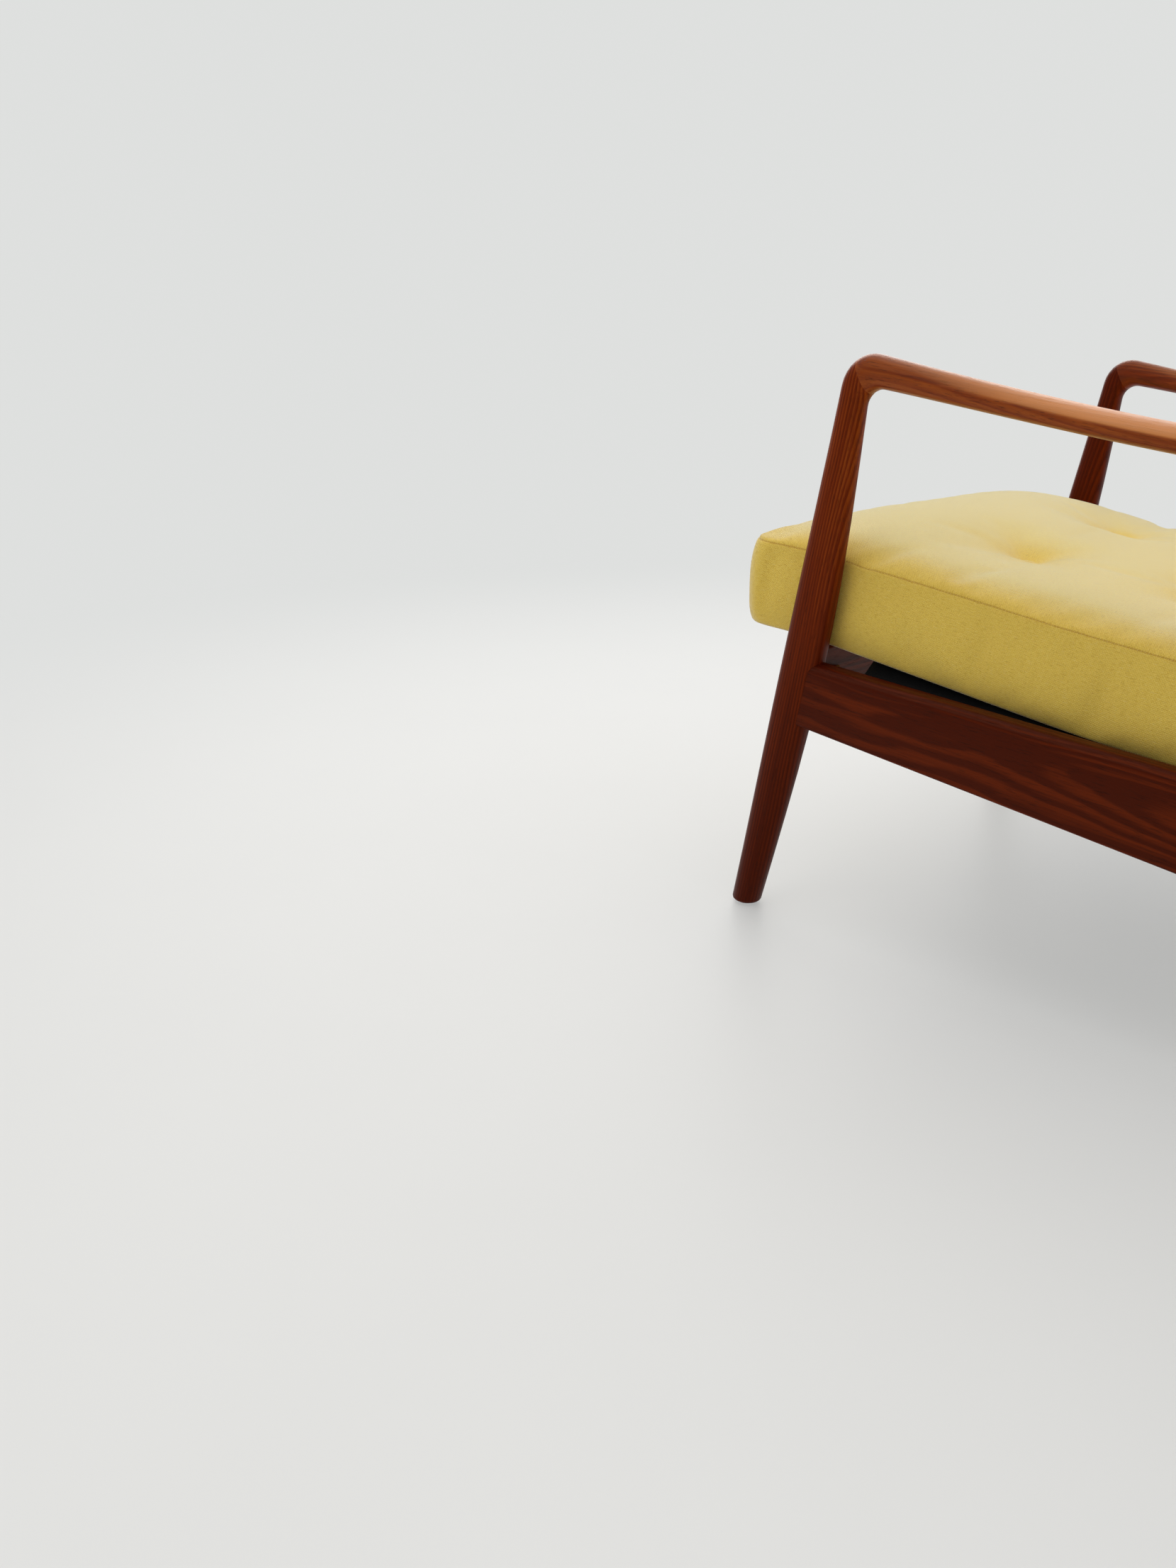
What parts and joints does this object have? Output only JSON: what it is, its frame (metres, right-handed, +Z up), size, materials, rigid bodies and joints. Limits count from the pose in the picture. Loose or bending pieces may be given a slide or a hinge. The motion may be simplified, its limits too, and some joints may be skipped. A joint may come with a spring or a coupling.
{
  "type": "upholstered lounge armchair",
  "caption": "Low wooden lounge armchair with mitred side frames, paddle armrests, a slatted reclined back and loose tufted wool cushions on elastic straps",
  "frame": {"origin": "on the floor under the middle of the chair's overall width and depth", "axes": "+Z up, the front of the chair faces -Y, +X to the sitter's left"},
  "size_m": [0.702, 0.8375, 0.8545],
  "materials": {
    "teak_frame": "oiled teak, satin, reddish brown with dark streaks",
    "beech_joinery": "plain beech, unfinished",
    "steel_hardware": "zinc-plated steel, dull",
    "brass_hardware": "plain brass",
    "strap_rubber": "black woven rubber webbing",
    "platform_cotton": "black cotton lining, plain weave",
    "wool_cover": "mustard yellow woven wool, fine melange",
    "cushion_foam": "cream upholstery foam",
    "tufting_twine": "waxed linen twine",
    "zip_brass": "brass zip on mustard tape"
  },
  "bodies": {
    "root": {"front_leg_left": "teak_frame", "front_leg_right": "teak_frame", "rear_leg_left": "teak_frame", "rear_leg_right": "teak_frame", "armrest_left": "teak_frame", "armrest_right": "teak_frame", "side_rail_left": "teak_frame", "side_rail_right": "teak_frame", "front_seat_rail": "teak_frame", "rear_seat_rail": "teak_frame", "back_stile_left": "teak_frame", "back_stile_right": "teak_frame", "back_crest_rail": "teak_frame", "back_bottom_rail": "teak_frame", "back_slat_1": "teak_frame", "back_slat_2": "teak_frame", "back_slat_3": "teak_frame", "back_slat_4": "teak_frame", "back_slat_5": "teak_frame", "back_slat_6": "teak_frame", "mitre_splines": "beech_joinery", "rear_rail_dowels": "beech_joinery", "crest_rail_dowels": "beech_joinery", "seat_corner_blocks": "beech_joinery", "corner_block_screws": "steel_hardware", "back_frame_bolts": "steel_hardware", "bolt_washers": "steel_hardware", "front_webbing_clips": "steel_hardware", "rear_webbing_clips": "steel_hardware", "foot_glides": "steel_hardware", "platform_tacks": "steel_hardware", "platform_cloth": "platform_cotton", "threaded_inserts": "brass_hardware", "spacer_collars": "brass_hardware", "seat_strap_1": "strap_rubber", "seat_strap_2": "strap_rubber", "seat_strap_3": "strap_rubber", "seat_strap_4": "strap_rubber", "seat_strap_5": "strap_rubber", "seat_strap_6": "strap_rubber", "seat_strap_7": "strap_rubber", "seat_cushion_cover": "wool_cover", "back_cushion_cover": "wool_cover", "seat_cushion_buttons": "wool_cover", "back_cushion_buttons": "wool_cover", "seat_cushion_core": "cushion_foam", "back_cushion_core": "cushion_foam", "seat_cushion_twine": "tufting_twine", "back_cushion_twine": "tufting_twine", "seat_cushion_zip": "zip_brass", "back_cushion_zip": "zip_brass"}
  },
  "joints": []
}
